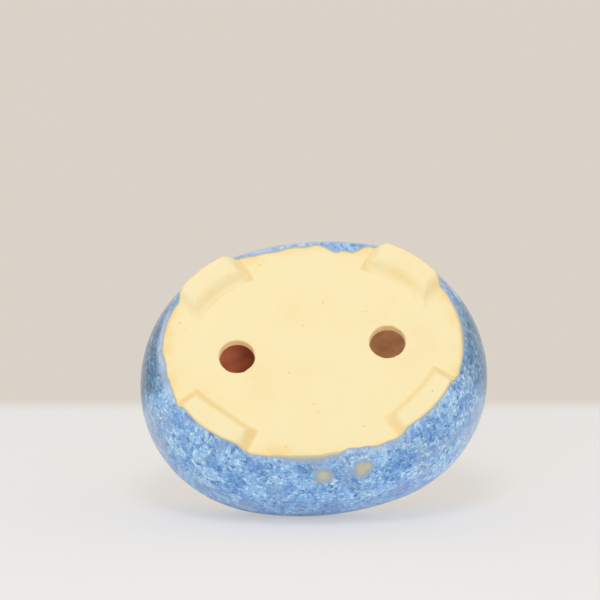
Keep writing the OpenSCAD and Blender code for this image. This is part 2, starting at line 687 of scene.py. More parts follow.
@dataclass(frozen=True)
class GlazeFinish(Finish):
    """Glossy blue glaze, flecked with paler crystals along the way that it ran."""

    name: str = "mottled_blue_glaze"
    deep: Colour = (0.055, 0.195, 0.480)
    blue: Colour = (0.145, 0.335, 0.710)
    pale: Colour = (0.320, 0.575, 0.900)
    cyan: Colour = (0.440, 0.740, 0.980)
    white: Colour = (0.720, 0.900, 1.000)
    # Teal and sea are painted dark reflection and shade at the ends of the pot.
    teal: Colour = (0.004, 0.075, 0.175)
    sea: Colour = (0.030, 0.205, 0.400)
    # Lilac serves random clouds, and painted pale reflection as well.
    lilac: Colour = (0.380, 0.475, 0.660)
    # Milk serves milky glaze, and a painted highlight along the bead at the front.
    milk_and_glint: Colour = (0.520, 0.640, 0.840)
    grey: Colour = (0.390, 0.465, 0.560)
    tan: Colour = (0.610, 0.575, 0.375)
    clay: Colour = (0.850, 0.690, 0.420)
    roughness: tuple[float, float] = (0.12, 0.22)
    dryness: float = 0.30
    relief: float = 0.10 * MM
    streak: float = 2.1 * MM
    blotch: float = 7.0 * MM
    cloud: float = 12 * MM
    fleck: float = 1.5 * MM
    chip: float = 1.9 * MM
    drop: float = 2.3 * MM
    comb: float = 1.7 * MM

    def surface(self, graph: Graph) -> Socket:
        """Wires the glaze: mottled blue, with painted dark reflection and shade at its ends and painted pale
        reflection in places, flecked over that, and clay where it is thin.

        Args:
            graph: Nodes of the material.

        Returns:
            Its shader.
        """
        flow = graph.node("ShaderNodeAttribute", attribute_name="flow").outputs["Vector"]
        # After the thickness, these attributes hold painted dark reflection and shade, painted pale
        # reflection, and milky glaze with a painted highlight along the bead at the front.
        depth, pool, haze, bloom = (
            graph.node("ShaderNodeAttribute", attribute_name=name).outputs["Fac"]
            for name in ("depth", "pool", "haze", "bloom")
        )
        brushed = graph.stretch(flow, (0.90, 0.90, 0.88))
        streaks = graph.noise(brushed, self.streak, 4, 0.75)
        blotches = graph.noise(graph.stretch(flow, (0.8, 0.8, 1), 0.11), self.blotch, 3)
        clouds = graph.noise(flow, self.cloud, 2)
        flecks = graph.noise(graph.stretch(brushed, (1, 1, 1), 0.77), self.fleck, 2, 0.6)
        chips = graph.noise(graph.stretch(brushed, (1, 1, 1), 1.37), self.chip, 3, 0.7)
        drops = graph.noise(graph.stretch(brushed, (1, 1, 1), 2.11), self.drop, 3, 0.7)
        combed = graph.noise(graph.stretch(flow, (0.40, 0.40, 1.1), 0.53), self.comb, 2, 0.6)
        fine, broad = graph.math("MULTIPLY", streaks, 0.45), graph.math("MULTIPLY", blotches, 0.55)
        tone = graph.math("ADD", fine, broad)
        color = graph.mix(graph.span(tone, 0.42, 0.58), self.blue, self.pale)
        color = graph.mix(graph.span(drops, 0.51, 0.64, 0, 0.95), color, self.deep)
        # Painted dark reflection and shade at the ends, in combed teal and sea streaks.
        dark_reflected = graph.mix(graph.span(combed, 0.42, 0.64), self.teal, self.sea)
        color = graph.mix(graph.math("MULTIPLY", pool, 0.95), color, dark_reflected)
        drifts = graph.span(clouds, 0.5, 0.72, 0, 0.6)
        # Lilac from random clouds, plus painted pale reflection.
        clouds_and_reflection = graph.math("ADD", drifts, graph.math("MULTIPLY", haze, 0.65))
        clouds_and_reflection = graph.math("MULTIPLY", clouds_and_reflection, graph.span(pool, 0.0, 1.0, 1.0, 0.15))
        color = graph.mix(clouds_and_reflection, color, self.lilac)
        # Fewer flecks show under painted reflection and shade.
        calm = graph.math("SUBTRACT", 1.0, graph.math("MULTIPLY", haze, 0.55))
        lively = graph.math("MULTIPLY", graph.span(blotches, 0.36, 0.6, 0.35, 1.0), calm)
        lively = graph.math("MULTIPLY", lively, graph.span(pool, 0.0, 1.0, 1.0, 0.35))
        chipped = graph.math("MULTIPLY", graph.span(chips, 0.49, 0.62, 0, 0.9), lively)
        color = graph.mix(chipped, color, self.cyan)
        flecked = graph.math("MULTIPLY", graph.span(flecks, 0.53, 0.66, 0, 0.95), lively)
        color = graph.mix(flecked, color, self.white)
        # Milky glaze just above the edge, and at the front a painted highlight along the bead.
        milky_and_glint = graph.math("MULTIPLY", bloom, graph.span(streaks, 0.3, 0.6, 0.6, 1.0))
        color = graph.mix(milky_and_glint, color, self.milk_and_glint)
        color = graph.mix(graph.span(depth, 0.76, 0.45), color, self.grey)
        color = graph.mix(graph.span(depth, 0.53, 0.24), color, self.tan)
        color = graph.mix(graph.span(depth, 0.20, 0.04), color, self.clay)
        height = graph.math("ADD", streaks, graph.math("MULTIPLY", flecks, 0.5))
        bump = graph.node("ShaderNodeBump", {"Height": height, "Strength": 0.5, "Distance": self.relief})
        dry = graph.span(depth, 0.60, 0.10, 0.0, self.dryness)
        rough = graph.math("ADD", graph.span(flecks, 0.40, 0.70, *self.roughness), dry)
        inputs = {"Base Color": color, "Roughness": rough, "Normal": bump.outputs["Normal"]}
        return graph.node("ShaderNodeBsdfPrincipled", inputs).outputs[0]


class Pressing(NamedTuple):
    """Sizes in which the hand-pressed feet differ.

    Turn is the direction of a foot's middle, seen from the centre of its round end. Run is that of its
    inner slope, bow is how far its ends narrow, lean is how far its outer side leans out, and soft is how
    far its slopes are rounded off. Warmth and shade is the tan on its slopes: the fire's flash with painted
    shade, heavier on the front feet. The creases are the same tan, flash and painted shade, in the corners
    at its ends, near the long axis and far from it.
    """

    turn: float
    length: float
    width: float
    run: float
    bow: float
    lean: float
    soft: float
    warmth_and_shade: float
    near_crease: float
    far_crease: float


# The last three sizes of each foot set the fire's flash with painted shade, more on the front feet.
PRESSINGS = {
    Corner.FRONT_LEFT: Pressing(
        math.radians(47), 37 * MM, 13.2 * MM, 4.4 * MM, 2.0 * MM, -0.7 * MM, 0.20, 0.44, 0.45, 0.45
    ),
    Corner.FRONT_RIGHT: Pressing(
        math.radians(47), 38 * MM, 13.8 * MM, 4.4 * MM, 2.6 * MM, -0.7 * MM, 0.20, 0.44, 0.45, 0.45
    ),
    Corner.REAR_LEFT: Pressing(
        math.radians(50.2), 35 * MM, 11.0 * MM, 4.4 * MM, 0.4 * MM, 2.0 * MM, 0.38, 0.13, 0.10, 0.62
    ),
    Corner.REAR_RIGHT: Pressing(
        math.radians(55.5), 33 * MM, 11.4 * MM, 4.4 * MM, 0.4 * MM, 2.0 * MM, 0.38, 0.13, 0.10, 0.62
    ),
}


@dataclass(frozen=True)
class Foot:
    """One low foot: a level pad with sloping ends, a sloping inner side and an outer side that leans."""

    form: PotForm
    corner: Corner
    end_run: float = 4.5 * MM
    step: float = 0.8 * MM
    skew: float = math.radians(4)
    edge_r: float = 1.0 * MM
    sunk: float = 0.3 * MM
    inner_hem: float = 0.8 * MM
    end_hem: float = 1.2 * MM
    hem_drop: float = 0.02 * MM
    lean_zone: float = 4 * MM
    wave: float = 0.05 * MM
    wave_grain: float = 9 * MM
    flash_and_shade_grain: float = 5 * MM
    # Tan towards the ends of the slopes, flash with painted shade.
    end_warmth_and_shade: float = 0.12
    cells: tuple[int, int] = (110, 48)

    @property
    def pressing(self) -> Pressing:
        """Sizes that are this foot's own."""
        return PRESSINGS[self.corner]

    @property
    def height(self) -> float:
        """Height of the foot under the base."""
        return self.form.base_z

    @cached_property
    def outer_r(self) -> float:
        """Radius of the outer side about the middle of the round end."""
        return self.form.oval.end_r - self.step

    @cached_property
    def half(self) -> float:
        """Half the angle that the foot takes up."""
        return self.pressing.length / self.outer_r / 2

    def reach(self, edge: Vector) -> float:
        """Gives how far inside the nearer end of the foot a point of the base's edge lies.

        Args:
            edge: The point.

        Returns:
            Length along the edge, under zero outside the foot.
        """
        x_sign, y_sign = self.corner.value
        across = Vector((edge.x * x_sign - self.form.oval.end_x, edge.y * y_sign))
        if across.x <= 0 or across.y <= 0:
            return -self.pressing.length
        return (self.half - abs(math.atan2(across.y, across.x) - self.pressing.turn)) * self.outer_r

    def to_end(self, turn: float, radius: float) -> float:
        """Gives the distance to the nearer end, which runs further out towards the inside of the foot."""
        half = self.half + self.skew * (self.outer_r - radius) / self.pressing.width
        return (half - abs(turn)) * radius

    def drop(self, turn: float, radius: float) -> float:
        """Gives how far the foot stands down from the base.

        Args:
            turn: Angle from the middle of the foot.
            radius: Distance from the middle of the round end.

        Returns:
            Its drop, a little under zero outside the foot.
        """
        width = self.pressing.width - self.pressing.bow * (turn / self.half) ** 2
        inner = (radius - self.outer_r + width) / self.pressing.run
        ends = self.to_end(turn, radius) / self.end_run
        rise = min(inner, ends)
        soft = self.pressing.soft
        low = max(rise, -soft) + soft
        eased = low * low / (4 * soft) if low < 2 * soft else low - soft
        top = 1 - eased
        eased = 1 - (top + soft) ** 2 / (4 * soft) if -soft < top < soft else min(eased, 1.0)
        outer = max(0.0, radius - self.outer_r + self.edge_r)
        tuck = self.edge_r - math.sqrt(max(0.0, self.edge_r ** 2 - outer ** 2))
        return self.height * eased - tuck - self.hem_drop * (1 - smooth(rise * 4))

    def flash(self, turn: float, radius: float, flat: Vector) -> float:
        """Gives the share of warm tan: the fire's flash, with painted shade on the slopes and in the corners
        at the ends.

        Args:
            turn: Angle from the middle of the foot.
            radius: Distance from the middle of the round end.
            flat: The point, seen from below.

        Returns:
            Share of the flash and the painted shade.
        """
        share = self.drop(turn, radius) / self.height
        slope = smooth(1 - abs(share - 0.45) / 0.6)
        toe = smooth(1 - abs(share - 0.08) / 0.12)
        at_end = smooth(1 - self.to_end(turn, radius) / (1.2 * self.end_run))
        patchy = 0.85 + 0.5 * mottle(Vector((*flat, 1)), self.flash_and_shade_grain, Layer.FOOT_FLASH)
        crease = self.pressing.far_crease if turn > 0 else self.pressing.near_crease
        # Tan on the slopes and in the creases, the fire's flash with painted shade.
        return (slope * (self.pressing.warmth_and_shade + self.end_warmth_and_shade * at_end) + crease * toe * at_end) * patchy

    def build(self, finish: Finish) -> bpy.types.Object:
        """Makes the foot.

        Args:
            finish: Clay that it wears.

        Returns:
            The foot.
        """
        bm = bmesh.new()
        flash = bm.verts.layers.float.new("flash")
        leant = bm.verts.layers.float.new("leant")
        bmesh.ops.create_grid(bm, x_segments=self.cells[0], y_segments=self.cells[1], size=1)
        sign = Vector(self.corner.value)
        inner_r = self.outer_r - self.pressing.width - self.inner_hem
        for vert in bm.verts:
            turn = vert.co.x * (self.half + self.skew + self.end_hem / self.outer_r)
            radius = inner_r + (self.outer_r - inner_r) * (vert.co.y + 1) / 2
            angle = self.pressing.turn + turn
            spoke = Vector((math.cos(angle), math.sin(angle)))
            drop = self.drop(turn, radius)
            outer = smooth(1 + (radius - self.outer_r) / self.lean_zone)
            vert[leant] = self.pressing.lean * outer * max(drop, 0.0) / self.height
            flat = (Vector((self.form.oval.end_x, 0)) + spoke * (radius + vert[leant])) * sign
            wave = self.wave * mottle(Vector((*flat, 0)), self.wave_grain, Layer.FOOT_WAVE)
            vert.co = (*flat, self.form.base_z + self.form.swell(flat) - drop + wave * drop / self.height)
            vert.co.z = max(vert.co.z, 0.0)
            vert[flash] = self.flash(turn, radius, flat)
        raised = bmesh.ops.extrude_face_region(bm, geom=list(bm.faces))
        for vert in raised["geom"]:
            if isinstance(vert, bmesh.types.BMVert):
                out = self.form.oval.locate(vert.co).out
                vert.co -= Vector((*out * vert[leant], 0))
                vert.co.z = self.form.base_z + self.sunk
        return finish_mesh(f"{self.corner.node}_clay", bm, finish, self.corner.node, Slot.CLAY)


class SlabPart(Enum):
    """Parts of the slab's section, in order from the top of a drain hole."""

    BORE = 0
    UNDER = 1
    EDGE = 2
    FLOOR = 3


@dataclass(frozen=True)
class BaseSlab:
    """Flat clay base with a rounded edge and two drain holes.

    Each half is a ring about its drain hole, which reaches out to the base's edge and the short axis.
    """

    form: PotForm
    edge_steps: int = 190
    middle_steps: int = 70
    bore_rows: int = 18
    under_rows: int = 60
    edge_rows: int = 12
    floor_rows: int = 34
    drain_edge: float = 0.6 * MM
    drain_wear: float = 0.25 * MM
    wear_grain: float = 3 * MM
    flash_hem: float = 6 * MM
    flash_and_shade_grain: float = 8 * MM
    edge_hem: float = 2.6 * MM
    # Tan painted on the wall of each drain bore as shade.
    bore_painted_shade: float = 0.9

    def rows(self) -> list[tuple[SlabPart, float]]:
        """Lists the rows of the section, as the part that each is in and its share of the way along it."""
        counts = (self.bore_rows, self.under_rows, self.edge_rows, self.floor_rows)
        return [(part, row / count) for part, count in zip(SlabPart, counts) for row in range(count)]

    @cached_property
    def top(self) -> float:
        """Place at which the slab's edge reaches its floor.

        Returns:
            Distance along the clay's face.
        """
        flank = self.form.skin.stretches[2]
        turn = self.form.flank_turn(self.form.glaze_t, self.form.floor_z)
        return self.form.skin.mark(2) + (turn - flank.start) * flank.radius

    def rim(self, column: int, share: float) -> Vector:
        """Finds a point of the slab's edge, or of the short axis where its halves meet.

        Args:
            column: Number of the column about the drain hole.
            share: Share of the way from the underside up to the floor.

        Returns:
            The point.
        """
        place = self.form.skin.at(self.top * share).place
        if column <= self.edge_steps:
            turn = math.pi * (column / self.edge_steps - 0.5)
            return self.form.oval.locate(Vector((math.cos(turn), math.sin(turn), 0))).put(place)
        across = 1 - 2 * (column - self.edge_steps) / self.middle_steps
        end = self.form.oval.locate(Vector((0, 1, 0))).put(place)
        return Vector((0, end.y * across, end.z))

    def bore(self, column: int, share: float, middle: Vector, radius: float) -> Vector:
        """Finds a point of a drain hole.

        Args:
            column: Number of the column about the drain hole.
            share: Share of the way from the floor, over its edge, down the bore and out over its lower edge.
            middle: Middle of the hole.
            radius: Its radius.

        Returns:
            The point.
        """
        low, high, edge = self.form.base_z, self.form.floor_z, self.drain_edge
        section = Section((
            Arc(Vector((radius + edge, high - edge)), edge, math.pi / 2, math.pi),
            Straight(Vector((radius, high - edge)), Vector((radius, low + edge))),
            Arc(Vector((radius + edge, low + edge)), edge, math.pi, 3 * math.pi / 2),
        ))
        place = section.at(section.mark(3) * share).place
        out = (self.rim(column, 0).xy - middle).normalized()
        return Vector((*(middle + out * place.x), place.y))

    def build(self, finish: Finish) -> bpy.types.Object:
        """Makes the slab.

        Args:
            finish: Clay that it wears.

        Returns:
            The slab.
        """
        rows = self.rows()
        columns = self.edge_steps + self.middle_steps
        middle, radius = max(self.form.drains, key=lambda drain: drain[0].x)
        bm = bmesh.new()
        index = bm.verts.layers.int.new("row")
        flash = bm.verts.layers.float.new("flash")
        loop = bmesh.ops.create_circle(bm, segments=len(rows), radius=1)["verts"]
        for row, vert in enumerate(loop):
            vert[index] = row
            vert.co = (2, 0, row)
        bmesh.ops.spin(
            bm, geom=list(bm.verts) + list(bm.edges), axis=(0, 0, 1), angle=2 * math.pi, steps=columns,
            use_merge=True,
        )
        holes = [[self.bore(column, share, middle, radius) for share in (0, 1)] for column in range(columns)]
        rims = [[self.rim(column, share) for share in (0, 1)] for column in range(columns)]
        for vert in bm.verts:
            part, share = rows[vert[index]]
            column = round(math.atan2(vert.co.y, vert.co.x) / (2 * math.pi) * columns) % columns
            if part is SlabPart.BORE:
                vert.co = self.bore(column, share, middle, radius)
            elif part is SlabPart.UNDER:
                vert.co = holes[column][1].lerp(rims[column][0], share)
            elif part is SlabPart.EDGE:
                vert.co = self.rim(column, share)
            else:
                vert.co = rims[column][1].lerp(holes[column][0], share)
        inner = [face for face in bm.faces if all(abs(vert.co.x) < WELD for vert in face.verts)]
        bmesh.ops.delete(bm, geom=inner, context="FACES")
        geom = list(bm.verts) + list(bm.edges) + list(bm.faces)
        bmesh.ops.mirror(bm, geom=geom, axis="X", merge_dist=WELD)
        for vert in bm.verts:
            part, share = rows[vert[index]]
            flat = vert.co.xy
            self.wear(vert, part, share)
            if part is SlabPart.UNDER:
                vert.co.z += self.form.swell(flat)
            if part is SlabPart.BORE:
                # Painted shade on the wall of the drain bore, as tan.
                vert[flash] = self.bore_painted_shade * smooth(share / 0.15) * smooth((1 - share) / 0.15)
            elif part is not SlabPart.FLOOR:
                vert[flash] = self.flash(vert.co)
        return finish_mesh("base_slab_clay", bm, finish, "base_slab", Slot.CLAY)

    def wear(self, vert: bmesh.types.BMVert, part: SlabPart, share: float) -> None:
        """Roughens the lower edge of a drain hole.

        Args:
            vert: Vertex of the slab.
            part: Part of the section that it is in.
            share: Share of the way along that part.
        """
        if part is SlabPart.BORE:
            near = smooth((share - 0.45) / 0.4)
        elif part is SlabPart.UNDER:
            near = smooth(1 - share / 0.08)
        else:
            return
        middles = (middle for middle, _ in self.form.drains)
        drain = min(middles, key=lambda middle: (middle - vert.co.xy).length)
        out = (vert.co.xy - drain).normalized()
        shift = out * self.drain_wear * near * mottle(vert.co, self.wear_grain, Layer.DRAIN_WEAR, 3)
        vert.co += Vector((*shift, 0))

    def flash(self, point: Vector) -> float:
        """Gives how far the fire warmed the clay, which is most along the edge of the base.

        Args:
            point: Point of the slab.

        Returns:
            Share of the flash.
        """
        offset = self.form.oval.locate(point).offset
        patchy = smooth(0.6 + mottle(point, self.flash_and_shade_grain, Layer.BASE_FLASH))
        edge = smooth(1 + (offset + 1.0 * MM) / self.flash_hem) * patchy
        return 0.40 * edge + 0.30 * smooth(1 + offset / self.edge_hem)


@dataclass(frozen=True)
class PotWall:
    """Clay wall from its seat on the slab up to the rounded rim."""

    form: PotForm
    end_steps: int = 96
    side_steps: int = 24
    face_rows: int = 96
    ring_gap: float = 4.5 * MM
    ring_rise: float = 0.09 * MM
    ring_fade: float = 3 * MM
    wobble_grain: float = 30 * MM
    swell_grain: float = 14 * MM
    sunk: float = 0.1 * MM

    def build(self, finish: Finish) -> bpy.types.Object:
        """Makes the wall.

        Args:
            finish: Clay that it wears.

        Returns:
            The wall.
        """
        form = self.form
        skin = form.skin
        flank = skin.stretches[2]
        seat_turn = form.flank_turn(form.glaze_t, form.floor_z - self.sunk)
        first = skin.mark(2) + (seat_turn - flank.start) * flank.radius
        last = skin.mark(len(skin.stretches))
        inside = skin.mark(5)
        bm = bmesh.new()
        along = bm.verts.layers.float.new("along")
        loop = bmesh.ops.create_circle(bm, segments=self.face_rows + 1, radius=1)["verts"]
        for row, vert in enumerate(loop):
            vert[along] = first + (last - first) * row / self.face_rows
            place = skin.at(vert[along]).place
            vert.co = (place.x, 0, place.y)
        form.oval.sweep(bm, self.end_steps, self.side_steps)
        for vert in bm.verts:
            spot = skin.at(vert[along])
            station = form.oval.locate(vert.co)
            below, above = (vert[along] - inside) / self.ring_fade, (last - vert[along]) / self.ring_fade
            wobble = mottle(vert.co, self.wobble_grain, Layer.RING_WOBBLE)
            ripple = math.sin(2 * math.pi * vert.co.z / self.ring_gap + 3 * wobble)
            swell = 2 * mottle(vert.co, self.swell_grain, Layer.WALL_SWELL)
            lift = self.ring_rise * (smooth(below) * smooth(above)) * (ripple + swell)
            vert.co = station.put(spot.place + spot.facing * lift)
            if vert[along] >= last:
                vert.co.z = form.floor_z - self.sunk
        return finish_mesh("pot_wall_clay", bm, finish, "pot_wall", Slot.CLAY)


class EdgeRun(NamedTuple):
    """Place on the edge of the base where the glaze ran further than elsewhere.

    Reach is how much further, thin is how thin it ran there, fade is how far up that shows, and bloom and
    glint is how milky it is just above the edge, together with a painted highlight along the bead at the
    front.
    """

    x: float
    y: float
    reach: float
    width: float
    thin: float
    fade: float
    bloom: float


class ThinSpot(NamedTuple):
    """Place on the front flank, by its height above the base, where the glaze hardly hides the clay."""

    x: float
    rise: float
    width: float
    height: float


class Patch(NamedTuple):
    """Place, by its height above the base, with the shares of painted dark reflection and shade and of
    painted pale reflection that the glaze gets there.

    Front is the Y at which it ends towards the front.
    """

    x: float
    y: float
    rise: float
    width: float
    pool: float
    haze: float
    front: float = -1.0


class GlazeColumn(NamedTuple):
    """Ends of the glaze at one point of the base's edge.

    Low and high are distances along the clay's face, and wall is the length on the outer side of the
    foot. Thin is how thin the glaze ran over the edge, fade is how far up that shows, and bloom and glint
    is how milky it is just above the edge, together with a painted highlight along the bead at the front.
    """

    low: float
    high: float
    foot: Foot
    wall: float
    thin: float
    fade: float
    bloom: float


class CoatPart(Enum):
    """Parts of the coat's section, in order from its lower edge."""

    LEAD = 0
    FACE = 1
    BACK = 2
    UNDER = 3


@dataclass(frozen=True)
class GlazeCoat:
    """Coat of glaze over the outside, the rim and a little of the inside."""

    form: PotForm
    feet: tuple[Foot, ...]
    inside: float = 8 * MM
    lead: float = 2 * MM
    bare: float = 0.45 * MM
    fillet: float = 1.9 * MM
    sunk: float = 0.15 * MM
    end_steps: int = 164
    side_steps: int = 70
    lead_rows: int = 22
    face_rows: int = 84
    back_rows: int = 24
    under_rows: int = 3
    lap: float = -0.6 * MM
    lap_wave: float = 0.45 * MM
    lap_grain: float = 7 * MM
    lap_limit: float = 6 * MM
    run_grain: float = 4 * MM
    hem_grain: float = 5 * MM
    mouth_wave: float = 1.1 * MM
    mouth_grain: float = 9 * MM
    low_tail: float = 0.8 * MM
    high_tail: float = 0.6 * MM
    bead_rise: float = 1.5 * MM
    bead_width: float = 1.1 * MM
    coat_grain: float = 10 * MM
    spot_grain: float = 2.5 * MM
    bloom_and_glint_rise: float = 2.2 * MM
    bloom_and_glint_wave: float = 0.8 * MM
    reflection_wave: float = 6 * MM
    reflection_grain: float = 9 * MM
    reflection_fade: float = 9 * MM
    runs: tuple[EdgeRun, ...] = (
        EdgeRun(-19 * MM, 49.3 * MM, 4.2 * MM, 8 * MM, 0.35, 2.2 * MM, 0.3),
        EdgeRun(8 * MM, 50.8 * MM, 1.7 * MM, 19 * MM, 0.2, 2.2 * MM, 0.5),
        EdgeRun(5 * MM, -50.9 * MM, 0.9 * MM, 18 * MM, 0.72, 3.4 * MM, 0.35),
        # These two runs at the front paint a highlight along the bead with their milk.
        EdgeRun(-14 * MM, -50.0 * MM, 1.2 * MM, 6 * MM, -0.4, 2.2 * MM, 0.5),
        EdgeRun(-29 * MM, -48.0 * MM, 0.2 * MM, 10 * MM, -0.2, 2.2 * MM, 0.6),
        EdgeRun(63.9 * MM, -7 * MM, 1.6 * MM, 13 * MM, 0.2, 2.5 * MM, 0.7),
        EdgeRun(61.6 * MM, 14 * MM, 0.0, 14 * MM, 0.3, 2.0 * MM, 1.0),
        EdgeRun(-64.3 * MM, 4 * MM, 0.0, 17 * MM, 0.45, 4.5 * MM, 0.0),
    )
    spots: tuple[ThinSpot, ...] = (
        ThinSpot(0.8 * MM, 8.6 * MM, 4.8 * MM, 4.2 * MM),
        ThinSpot(-15.4 * MM, 8.8 * MM, 4.0 * MM, 4.3 * MM),
        ThinSpot(-18.2 * MM, 8.0 * MM, 2.7 * MM, 3.0 * MM),
    )
    patches: tuple[Patch, ...] = (
        # The first two patches paint dark reflection and shade at the ends; the last two paint pale
        # reflection.
        Patch(73 * MM, 10 * MM, 20 * MM, 34 * MM, 1.0, 0.0, -9 * MM),
        Patch(-74 * MM, 2 * MM, 20 * MM, 27 * MM, 0.85, 0.0, -22 * MM),
        Patch(71 * MM, -18 * MM, 25 * MM, 14 * MM, 0.0, 0.8),
        Patch(-68 * MM, -26 * MM, 28 * MM, 15 * MM, 0.0, 0.8),
    )

    def rows(self) -> list[tuple[CoatPart, float]]:
        """Lists the rows of the section.

        Returns:
            The part that each is in, and its share of the way along it.
        """
        rows = [(CoatPart.LEAD, (row / self.lead_rows) ** 1.4) for row in range(self.lead_rows)]
        rows += [(CoatPart.FACE, row / self.face_rows) for row in range(self.face_rows + 1)]
        rows += [(CoatPart.BACK, 1 - row / self.back_rows) for row in range(self.back_rows + 1)]
        rows += [(CoatPart.UNDER, 1 - row / self.under_rows) for row in range(1, self.under_rows + 1)]
        return rows

    def column(self, edge: Vector) -> GlazeColumn:
        """Finds how the glaze ends at one point of the base's edge.

        Args:
            edge: Point of the base's edge.

        Returns:
            Its ends there.
        """
        place = Vector((*edge, 0))
        lap = self.lap_wave * mottle(place, self.lap_grain, Layer.EDGE_LAP, 3) + self.lap
        thin, fade, bloom = 0.0, self.runs[0].fade, 0.0
        for run in self.runs:
            share = math.exp(-((edge - Vector((run.x, run.y))).length / run.width) ** 4)
            lap += share * run.reach * (1 + 0.18 * mottle(place, self.run_grain, Layer.EDGE_RUN))
            thin += share * run.thin
            fade += share * (run.fade - fade)
            bloom += share * run.bloom
        foot = max(self.feet, key=lambda foot: foot.reach(edge))
        reach = foot.reach(edge)
        lap *= 1 - smooth(1 + reach / (2 * MM))
        wall = foot.height * min(max(reach / foot.end_run, 0.0), 1.0)
        wall = max(0.0, wall - self.bare * (1 + 0.8 * mottle(place, self.hem_grain, Layer.FOOT_HEM)))
        ragged = self.mouth_wave * mottle(place, self.mouth_grain, Layer.MOUTH_HEM, 3)
        high = self.form.skin.mark(5) + self.inside + ragged
        return GlazeColumn(max(-lap, -self.lap_limit), high, foot, wall, thin, fade, min(bloom, 1.0))

    def build(self, finish: Finish) -> bpy.types.Object:
        """Makes the coat.

        Args:
            finish: Glaze that it wears.

        Returns:
            The coat.
        """
        rows = self.rows()
        bm = bmesh.new()
        index = bm.verts.layers.int.new("row")
        flow = bm.verts.layers.float_vector.new("flow")
        depth = bm.verts.layers.float.new("depth")
        pool = bm.verts.layers.float.new("pool")
        haze = bm.verts.layers.float.new("haze")
        bloom = bm.verts.layers.float.new("bloom")
        loop = bmesh.ops.create_circle(bm, segments=len(rows), radius=1)["verts"]
        for row, vert in enumerate(loop):
            vert[index] = row
            vert.co = (self.form.belly_out / 2 + 0.01 * MM * row, 0, 0.1 * MM * row)
        self.form.oval.sweep(bm, self.end_steps, self.side_steps)
        columns = {}
        for vert in bm.verts:
            part, share = rows[vert[index]]
            station = self.form.oval.locate(vert.co)
            key = tuple(round(value / WELD) for value in station.edge)
            if key not in columns:
                columns[key] = self.column(station.edge)
            place, along, thick = self.spot(station, columns[key], part, share)
            vert.co = place
            vert[flow] = Vector((*station.edge, along))
            vert[depth] = thick
            # Painted dark reflection and shade, and painted pale reflection.
            vert[pool], vert[haze] = self.tint(place)
            # Milky band just above the lower edge, which at the front is a painted highlight along the bead.
            wave = self.bloom_and_glint_wave * mottle(place, self.hem_grain, Layer.BLOOM)
            above = along - columns[key].low - self.bloom_and_glint_rise + wave
            vert[bloom] = columns[key].bloom * math.exp(-(above / self.bloom_and_glint_rise) ** 2)
        return finish_mesh("glaze_coat_skin", bm, finish, "glaze_coat", Slot.GLAZE)

    def tint(self, point: Vector) -> tuple[float, float]:
        """Gives the shares of painted dark reflection and shade, and of painted pale reflection, at a point.

        Args:
            point: The point.

        Returns:
            Both shares, from 0 to 1.
        """
        rise = point.z - self.form.base_z
        # Painted pale reflection grows towards the belly, and each patch adds its shares of painted dark
        # reflection and shade and of painted pale reflection.
        pool, haze = 0.0, 0.65 * smooth((rise - 18 * MM) / (14 * MM))
        ragged = self.reflection_wave * mottle(point, self.reflection_grain, Layer.POOL_HEM, 3)
        for patch in self.patches:
            far = (point - Vector((patch.x, patch.y, patch.rise + self.form.base_z))).length / patch.width
            behind = smooth((point.y - patch.front + ragged) / self.reflection_fade + 0.5)
            share = math.exp(-far ** 4) * behind
            pool += patch.pool * share
            haze += patch.haze * share
        return min(pool, 1.0), min(haze, 1.0)

    def spot(
        self, station: Station, column: GlazeColumn, part: CoatPart, share: float
    ) -> tuple[Vector, float, float]:
        """Places one point of the coat.

        Args:
            station: Where it lies about the oval.
            column: Ends of the glaze there.
            part: Part of the section that it is in.
            share: Share of the way along that part.

        Returns:
            The point, its distance along the section, and how thick the glaze is there, from 0 to 1.
        """
        skin = self.form.skin
        lead_end = skin.mark(2) + self.lead
        if part in (CoatPart.LEAD, CoatPart.UNDER):
            along = column.low + (lead_end - column.low) * share
            place, facing = skin.at(along)
            low, far = self.foot_spot(column, share)
            on_foot = smooth(column.wall / (0.8 * MM))
            place = place.lerp(low.place, on_foot)
            facing = facing.lerp(low.facing, on_foot).normalized()
            from_low = along - column.low + (far - along + column.low) * on_foot
        else:
            along = lead_end + (column.high - lead_end) * share
            place, facing = skin.at(along)
            from_low = along - column.low + column.wall
        thick = self.thickness(station.put(place), from_low, column.high - along, column)
        if part in (CoatPart.BACK, CoatPart.UNDER):
            return station.put(place - facing * self.sunk), along, thick
        return station.put(place + facing * thick * self.form.glaze_t), along, thick

    def foot_spot(self, column: GlazeColumn, share: float) -> tuple[Spot, float]:
        """Places a point of the coat where it runs down the outer side of a foot.

        Args:
            column: Ends of the glaze there.
            share: Share of the way up from its lower edge to the flank.

        Returns:
            The spot, and its distance from the glaze's lower edge.
        """
        form = self.form
        flank = form.skin.stretches[2]
        low_turn = form.flank_turn(form.glaze_t, form.base_z)
        high_turn = flank.start + self.lead / flank.radius
        rise = flank.radius * (high_turn - low_turn)
        side = Vector((column.foot.pressing.lean / column.foot.height, -1))
        heel = Vector((column.foot.outer_r - form.oval.end_r, form.base_z))
        far = (column.wall + rise) * share
        fillet = min(self.fillet, column.wall, rise)
        up = far - column.wall
        if up <= -fillet:
            return Spot(heel + side * -up, Vector((1, side.x)).normalized()), far
        if up >= fillet:
            return self.flank_spot(low_turn + up / flank.radius), far
        high = self.flank_spot(low_turn + fillet / flank.radius)
        bend = Bend(heel + side * fillet, heel, high.place)
        return bend.at((up + fillet) / (2 * fillet)), far

